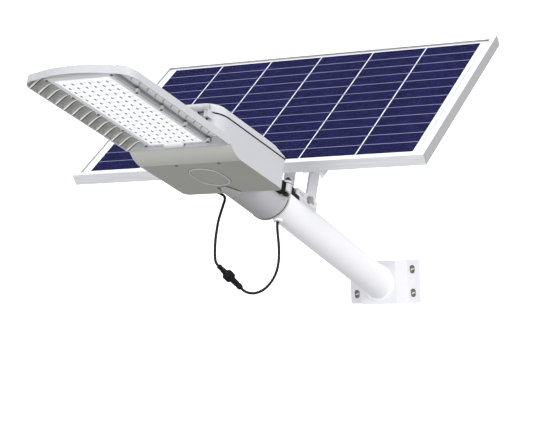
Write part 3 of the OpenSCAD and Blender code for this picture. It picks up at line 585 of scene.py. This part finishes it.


# painted highlight: near-white strip along each fin crest
V, F = fin_strip([(-1.45, 0.12, 0), (-1.4, 0.0, -0.1), (-0.9, 0, -0.5), (0.0, 0, -0.65), (0.9, 0, -0.5), (1.4, 0.0, -0.1), (1.45, 0.12, 0)])
crests = mesh("fin_crests", V, F)
put(crests, M_CREST_HIGHLIGHT, "base")
# painted shadow: dark strip on the far side of each fin crest
V, F = fin_strip([(-1.3, 0.0, -0.5), (-2.2, 0.0, -0.6), (-3.4, 0.0, -0.4), (-3.9, 0.15, 0), (-3.7, 0.6, 0), (-4.3, 1.0, -0.05)])
flanks = mesh("fin_flank_shadows", V, F)
put(flanks, M_FLANK, "base")
V, F = fin_strip([(1.42, 0.06, 0), (1.5, 0.4, 0), (2.0, 0.68, 0), (3.2, 0.88, 0), (5.2, 1.0, 0)])
fins = mesh("wing_fins", V, F)
put(fins, M_COVE, "base")
# painted light: near-white strip laid over the shaded floor between the bezel and the right-hand fins
V, F = [], []
for sgn in (1,):
    us = [160.5 + 4 * k for k in range(70)]
    for u in us:
        for x, z in ((58.2, 7.82), (64, 7.8), (70, 7.75), (76, 7.2)):
            V.append(head(sgn * x, u, z))
    for r in range(len(us) - 1):
        for c in range(3):
            F.append((r * 4 + c, r * 4 + c + 1, (r + 1) * 4 + c + 1, (r + 1) * 4 + c))
floor_r = mesh("wing_floor", V, F)
put(floor_r, M_FLOOR_LIGHT, "base")
# painted shadow: grey streaks on the right-hand floor running in from each fin root
V, F = [], []
for i in range(13):
    u0 = 161 + 23 * i
    b = len(V)
    for k, (x, du, wd) in enumerate(((75, 3.5, 1.2), (71, 0.5, 3.4), (67, -3.5, 3.6), (63, -8.5, 2.4), (60, -13, 0.6))):
        V += [head(x, u0 + du - wd / 2, 7.5), head(x, u0 + du + wd / 2, 7.5)]
        if k:
            F.append((b + 2 * k - 2, b + 2 * k - 1, b + 2 * k + 1, b + 2 * k))
roots = mesh("fin_root_shadows", V, F)
put(roots, M_ROOT, "base")


# ------------------------------------------------------------------ lens field
def grid_pts():
    for i in range(6):
        for j in range(17):
            yield (i - 2.5) * 15.6, 306 + (j - 8) * 15.6


def lens_mesh(name, cx, cu, z0, ax, au, h, nr=5, na=20, full=False):
    V, F = [], []
    for gx, gu in grid_pts():
        b = len(V)
        V.append(head(gx + cx, gu + cu, z0 - h))
        for r in range(1, nr + 1):
            t = (math.pi / 2) * r / nr
            for k in range(na):
                a = 2 * math.pi * k / na
                V.append(head(gx + cx + ax * math.sin(t) * math.cos(a), gu + cu + au * math.sin(t) * math.sin(a), z0 - h * math.cos(t)))
        for k in range(na):
            F.append((b, b + 1 + k, b + 1 + (k + 1) % na))
        for r in range(nr - 1):
            for k in range(na):
                o1, o2 = b + 1 + r * na, b + 1 + (r + 1) * na
                F.append((o1 + k, o2 + k, o2 + (k + 1) % na, o1 + (k + 1) % na))
    return mesh(name, V, F)


def tinted(name, col, rough, emit):
    mt, nt, bs = new_mat(name)
    v = coords(nt)
    n = noise(nt, 220, 2, 0.5, v)
    c = ramp(nt, n.outputs["Fac"], [(0.3, mul(col, 0.93)), (0.7, mul(col, 1.03))])
    nt.links.new(c, bs.inputs["Base Color"])
    nt.links.new(c, bs.inputs["Emission Color"])
    bs.inputs["Roughness"].default_value = rough
    bs.inputs["Emission Strength"].default_value = emit
    bump(nt, bs, n.outputs["Fac"], 0.05, 0.0003)
    return mt


# painted light: the lens domes glow faintly
M_DOME = tinted("lens_dome", lin(246, 248, 250), 0.08, 0.24)
# painted shade: grey marks inside each lens dome, with a very faint glow
M_LENS_SHADE = tinted("lens_shade_mark", lin(122, 126, 131), 0.4, 0.04)
domes = lens_mesh("lens_domes", 0, 0, -0.9, 5.6, 6.4, 3.4)
put(domes, M_DOME, "base")
spots = lens_mesh("lens_shade_marks", 0.5, 0.8, -3.95, 1.5, 3.7, 0.8, 4, 16)
put(spots, M_LENS_SHADE, "base")

# ------------------------------------------------------------------ beads, rings and shadow gaps
def tube_along(name, pts, r, closed=False, na=8, squash=1.0, up=None):
    """Round bead along a list of points in metres."""
    V, F = [], []
    n = len(pts)
    for i, q in enumerate(pts):
        a = pts[i - 1] if (i or closed) else pts[i]
        b = pts[(i + 1) % n] if (i < n - 1 or closed) else pts[i]
        t = (b - a).normalized()
        ref = up if up is not None else Vector((0, 0, 1))
        e1 = t.cross(ref).normalized()
        e2 = e1.cross(t).normalized()
        for k in range(na):
            w = 2 * math.pi * k / na
            V.append(q + e1 * (r * math.cos(w)) + e2 * (r * squash * math.sin(w)))
    for i in range(n if closed else n - 1):
        j = (i + 1) % n
        for k in range(na):
            F.append((i * na + k, i * na + (k + 1) % na, j * na + (k + 1) % na, j * na + k))
    return mesh(name, V, F)


def stadium(r, z, n=26, u0=42, u1=66):
    pts = []
    for k in range(n):
        w = math.pi * k / (n - 1)
        pts.append(head(r * math.cos(w), u1 + r * math.sin(w), z))
    for k in range(n):
        w = math.pi + math.pi * k / (n - 1)
        pts.append(head(r * math.cos(w), u0 + r * math.sin(w), z))
    return pts


HUP = (head(0, 0, 1) - head(0, 0, 0)).normalized()
ring = tube_along("cover_ring", stadium(28, -19.8), 1.45 * MM, True, 10, 0.9, HUP)
put(ring, M_LID, "base")
ring2 = tube_along("cover_ring_shade", stadium(29.7, -19.55), 0.62 * MM, True, 8, 0.5, HUP)
put(ring2, M_GROOVE, "base")


def rr_path(hx, u0, u1, rf, rb, z, n=10):
    """Rounded rectangle in the head frame; rf is the radius at the front (u1) and rb at the back (u0)."""
    pts = []
    for cx, cu, rad, a0 in ((hx - rf, u1 - rf, rf, 0), (-hx + rf, u1 - rf, rf, 90), (-hx + rb, u0 + rb, rb, 180), (hx - rb, u0 + rb, rb, 270)):
        for k in range(n):
            w = math.radians(a0 + 90 * k / (n - 1))
            pts.append(head(cx + rad * math.cos(w), cu + rad * math.sin(w), z))
    return pts


bead = tube_along("lid_seal_bead", rr_path(96.8, -26.8, 207.8, 33.8, 11.8, 32.2), 1.25 * MM, True, 8, 1.0, HUP)
put(bead, M_RUBBER, "base")
# painted shadow: black strips in the gaps beside the hinge knuckle
for nm_, pts_ in (("hinge_shadow_a", [(79.4, 209.3, 31.5), (79.4, 209.4, 26), (79.2, 209.3, 20), (78.6, 209.2, 15)]),
                  ("hinge_shadow_b", [(56, 209.0, 30.6), (59, 210.4, 31.6), (62, 211.2, 31), (62.4, 210.8, 27.5)])):
    gp = tube_along(nm_, [head(*q) for q in pts_], 1.5 * MM, False, 8, 1.0, (head(0, 1, 0) - head(0, 0, 0)).normalized())
    put(gp, M_RUBBER, "base")

ARM_UP = (arm(1, 0, 0) - arm(0, 0, 0)).normalized()
groove = []
for k in range(41):
    w = math.radians(72 + 150 * k / 40)
    groove.append(arm(455.0, -5 + 40.35 * math.cos(w), 40.35 * math.sin(w)))
rim_line = tube_along("rim_shade", groove, 0.75 * MM, False, 8, 1.0, ARM_UP)
put(rim_line, M_GROOVE, "base")

# ------------------------------------------------------------------ nose of the pole socket on the bottom plate
NOSE_T = [(-13.5, -7.0), (-11.0, -3.2), (-6.0, 3.6), (0.2, 6.6), (5.1, -0.3), (8.4, -8.6), (13.1, -18.6), (18.0, -28.0)]
NOSE_B = [(580.5, -19.5), (577.5, -18.4), (573.0, -16.7), (565.5, -15.0), (562.5, -9.0), (565.0, 3.8), (566.5, 15.0), (566.5, 23.4)]
V, F = [], []
NT = 7
for (x, u), (sa, w) in zip(NOSE_T, NOSE_B):
    t0 = head(x, u, -19.66)
    w = math.radians(w)
    t1 = arm(sa, -5 - 42.3 * math.cos(w), 42.3 * math.sin(w))
    for k in range(NT + 1):
        t = k / NT
        q = t0.lerp(t1, t) - HUP * (1.1 * math.sin(math.pi * t) * MM)
        V.append(q)
for i in range(len(NOSE_T) - 1):
    for k in range(NT):
        F.append((i * (NT + 1) + k, i * (NT + 1) + k + 1, (i + 1) * (NT + 1) + k + 1, (i + 1) * (NT + 1) + k))
nose = mesh("socket_nose", V, F)
put(nose, M_NOSE, "base")

# ------------------------------------------------------------------ skin of the pole socket, with painted shade across it
def shade_ramp_material(name, stops, rough, axis=0, const=False, grain=900):
    """Powder coat with painted shade that grades along one object axis; stops are (metres, colour)."""
    mt, nt, bs = new_mat(name)
    v = coords(nt)
    sp = nt.nodes.new("ShaderNodeSeparateXYZ")
    nt.links.new(v, sp.inputs[0])
    mr = nt.nodes.new("ShaderNodeMapRange")
    lo, hi = stops[0][0], stops[-1][0]
    mr.inputs["From Min"].default_value = lo
    mr.inputs["From Max"].default_value = hi
    nt.links.new(sp.outputs[axis], mr.inputs["Value"])
    c = ramp(nt, mr.outputs["Result"], [((q - lo) / (hi - lo), col) for q, col in stops])
    nt.links.new(c, bs.inputs["Base Color"])
    bs.inputs["Roughness"].default_value = rough
    n = noise(nt, grain, 2, 0.5, v)
    bump(nt, bs, n.outputs["Fac"], 0.2, 0.0005)
    return mt


# painted shade: darker and warmer towards -X, lighter and bluer towards +X
M_HOOD_SHADE = shade_ramp_material("hood_painted_shade", [(-0.045, lin(140, 139, 132)), (-0.012, lin(150, 149, 143)), (0.008, lin(168, 167, 168)),
                                       (0.028, lin(180, 179, 184)), (0.045, lin(186, 185, 190))], 0.45)
HI = HEAD_M.inverted()
V, F = [], []
ws = [-112 + 7 * k for k in range(33)]
NS = 8
for w in ws:
    wr = math.radians(w)

    def skin(sa):
        rad = 40 + (sa - 450) * 0.0125 + 0.3
        return arm(sa, -5 - rad * math.cos(wr), rad * math.sin(wr))
    s1 = 620.0
    while s1 > 470 and (HI @ skin(s1)).y < 25.55 * MM:
        s1 -= 0.5
    for k in range(NS + 1):
        V.append(skin(456.6 + (s1 - 456.6) * k / NS))
for i in range(len(ws) - 1):
    for k in range(NS):
        F.append((i * (NS + 1) + k, i * (NS + 1) + k + 1, (i + 1) * (NS + 1) + k + 1, (i + 1) * (NS + 1) + k))
hood_skin = mesh("socket_skin", V, F)
put(hood_skin, M_HOOD_SHADE, "base")

# ------------------------------------------------------------------ panel lip strips in painted light, and margin lines
def panel_quads(name, quads, thick=0.0):
    V, F = [], []
    for q in quads:
        b = len(V)
        V += [PANEL_M @ (Vector(c) * MM) for c in q]
        F.append((b, b + 1, b + 2, b + 3))
    return mesh(name, V, F, False)


# painted light: near-white strips over the shaded inner faces of the frame lip
M_LIP_LIGHT = tinted("lip_painted_light", lin(238, 239, 241), 0.4, 0.0)
LIGHT_INSET = 2.4
lip_light = panel_quads("lip_painted_light", [[(-349, 198.35, 0.02), (349, 198.35, 0.02), (349 - LIGHT_INSET, 198.35 - LIGHT_INSET, -1.36), (-349 + LIGHT_INSET, 198.35 - LIGHT_INSET, -1.36)],
                                  [(-349, -198.35, 0.02), (-349, 198.35, 0.02), (-349 + LIGHT_INSET, 198.35 - LIGHT_INSET, -1.36), (-349 + LIGHT_INSET, -198.35 + LIGHT_INSET, -1.36)],
                                  [(349, 198.35, 0.02), (349, -198.35, 0.02), (349 - LIGHT_INSET, -198.35 + LIGHT_INSET, -1.36), (349 - LIGHT_INSET, 198.35 - LIGHT_INSET, -1.36)],
                                  [(349, -198.35, 0.02), (-349, -198.35, 0.02), (-349 + LIGHT_INSET, -198.35 + LIGHT_INSET, -1.36), (349 - LIGHT_INSET, -198.35 + LIGHT_INSET, -1.36)]])
put(lip_light, M_LIP_LIGHT, "panel")
margin = panel_quads("margin_lines", [[(sg * 339 - 1.05, -159.6, -4.72), (sg * 339 + 1.05, -159.6, -4.72), (sg * 339 + 1.05, 163.6, -4.72),
                                       (sg * 339 - 1.05, 163.6, -4.72)] for sg in (-1, 1)])
put(margin, tinted("margin_grey", lin(206, 208, 213), 0.4, 0.0), "panel")
PITCH = 662 / 6
tops = panel_quads("cell_tops", [[(-331 + i * PITCH + 1.3, 182.3, -4.82), (-331 + (i + 1) * PITCH - 1.3, 182.3, -4.82),
                                  (-331 + (i + 1) * PITCH - 1.3, 188.6, -4.82), (-331 + i * PITCH + 1.3, 188.6, -4.82)] for i in range(6)])
put(tops, M_CELLS, "panel")

# ------------------------------------------------------------------ slot inserts in the wall flanges, grey as painted shade inside the slots
def oval(cx, cz, w, l, y, n=28):
    pts = []
    for k in range(n):
        a = 2 * math.pi * k / n
        x, z = math.cos(a) * w / 2, math.sin(a) * w / 2
        z += (l - w) / 2 * (1 if math.sin(a) >= 0 else -1)
        pts.append(Vector((cx + x, y, cz + z)) * MM)
    return pts


# painted shade: grey inserts that close each slot so its inside reads dark
V, F = [], []
for cx in (-61, 61):
    for cz in (-23, 23):
        rings = [oval(cx, cz, 10.2, 16.7, -4.0), oval(cx, cz, 10.2, 16.7, -4.7), oval(cx, cz, 9.4, 15.9, -5.0), oval(cx, cz, 7.4, 13.9, -4.8),
                 oval(cx, cz, 7.0, 13.5, -4.2), oval(cx, cz, 6.8, 13.3, -1.6), oval(cx, cz, 1.0, 7.5, -1.5)]
        b = len(V)
        n = len(rings[0])
        for rg in rings:
            V += rg
        for r in range(len(rings) - 1):
            for k in range(n):
                F.append((b + r * n + k, b + r * n + (k + 1) % n, b + (r + 1) * n + (k + 1) % n, b + (r + 1) * n + k))
        F.append(tuple(b + (len(rings) - 1) * n + k for k in range(n)))
slot_shades = mesh("slot_shade_inserts", V, F)
put(slot_shades, M_SLOT_SHADE, "base")
# painted highlight: a white diagonal bar in each slot stands in for a glint
V, F = [], []
for cx in (-61, 61):
    for cz in (-23, 23):
        b = len(V)
        for y in (-1.7, -3.2):
            for (x, z) in ((-3.2, -2.4), (3.2, 0.2), (3.2, 2.4), (-3.2, -0.2)):
                V.append(Vector((cx + x, y, cz + z)) * MM)
        F += [(b, b + 1, b + 2, b + 3), (b + 4, b + 5, b + 6, b + 7)]
        F += [(b + k, b + (k + 1) % 4, b + 4 + (k + 1) % 4, b + 4 + k) for k in range(4)]
slot_glints = mesh("slot_glint_bars", V, F, False)
put(slot_glints, M_WHITEPL, "base")

# ------------------------------------------------------------------ stage and light
def stage_mat():
    mt, nt, bs = new_mat("stage_white")
    v = coords(nt)
    n = noise(nt, 0.4, 2, 0.5, v)
    c = ramp(nt, n.outputs["Fac"], [(0.3, (0.98, 0.98, 0.98)), (0.7, (1, 1, 1))])
    nt.links.new(c, bs.inputs["Base Color"])
    nt.links.new(c, bs.inputs["Emission Color"])
    bs.inputs["Roughness"].default_value = 0.9
    bs.inputs["Emission Strength"].default_value = 1.0
    return mt


def cyc():
    prof = []
    for a in range(0, 91, 10):
        r = 2.0
        prof.append((8 - r + r * math.sin(math.radians(a)), -1.6 + r - r * math.cos(math.radians(a))))
    prof = [(-9, -1.6)] + prof + [(8, 9)]
    V, F = [], []
    for x in (-12, 12):
        for y, z in prof:
            V.append(Vector((x, y, z)))
    n = len(prof)
    for i in range(n - 1):
        F.append((i, i + 1, n + i + 1, n + i))
    # turned so that its wall faces the camera
    R = Matrix.Rotation(math.radians(29), 4, "Z")
    V = [R @ v for v in V]
    return mesh("stage_sweep", V, F)


floor = cyc()
floor.data.materials.append(stage_mat())
floor.visible_diffuse = False
floor.visible_shadow = False
floor.visible_glossy = False

world = bpy.data.worlds.new("studio")
scene.world = world
world.use_nodes = True
wn = world.node_tree
bg = wn.nodes["Background"]
tc = wn.nodes.new("ShaderNodeTexCoord")
sx = wn.nodes.new("ShaderNodeSeparateXYZ")
wn.links.new(tc.outputs["Generated"], sx.inputs[0])
mr = wn.nodes.new("ShaderNodeMapRange")
mr.inputs["From Min"].default_value = -1
mr.inputs["From Max"].default_value = 1
wn.links.new(sx.outputs["Z"], mr.inputs["Value"])
wr = wn.nodes.new("ShaderNodeValToRGB")
for e_, (p, c) in zip([wr.color_ramp.elements[0], wr.color_ramp.elements[1], wr.color_ramp.elements.new(0.5)],
                      [(0.0, (0.52, 0.52, 0.535)), (1.0, (1.0, 1.0, 1.0)), (0.5, (0.74, 0.74, 0.75))]):
    e_.position = p
    e_.color = (*c, 1)
wn.links.new(mr.outputs["Result"], wr.inputs["Fac"])
wn.links.new(wr.outputs["Color"], bg.inputs["Color"])
bg.inputs["Strength"].default_value = 0.93


def area(name, loc, target, size, power, col=(1, 1, 1)):
    l = bpy.data.lights.new(name, "AREA")
    l.shape = "DISK"
    l.size = size
    l.energy = power
    l.color = col
    o = bpy.data.objects.new(name, l)
    scene.collection.objects.link(o)
    o.location = loc
    o.rotation_euler = (Vector(target) - Vector(loc)).to_track_quat("-Z", "Y").to_euler()
    return o


area("key", (-1.6, -3.4, 3.2), (0, -0.5, 0.2), 2.2, 26)
area("top", (0.2, -0.3, 3.6), (0, -0.5, 0.2), 2.4, 52)
area("side", (3.6, -2.0, 1.0), (0, -0.5, 0.2), 1.8, 92)
area("front", (-0.4, -4.6, -0.3), (0, -0.6, 0.2), 2.0, 50)
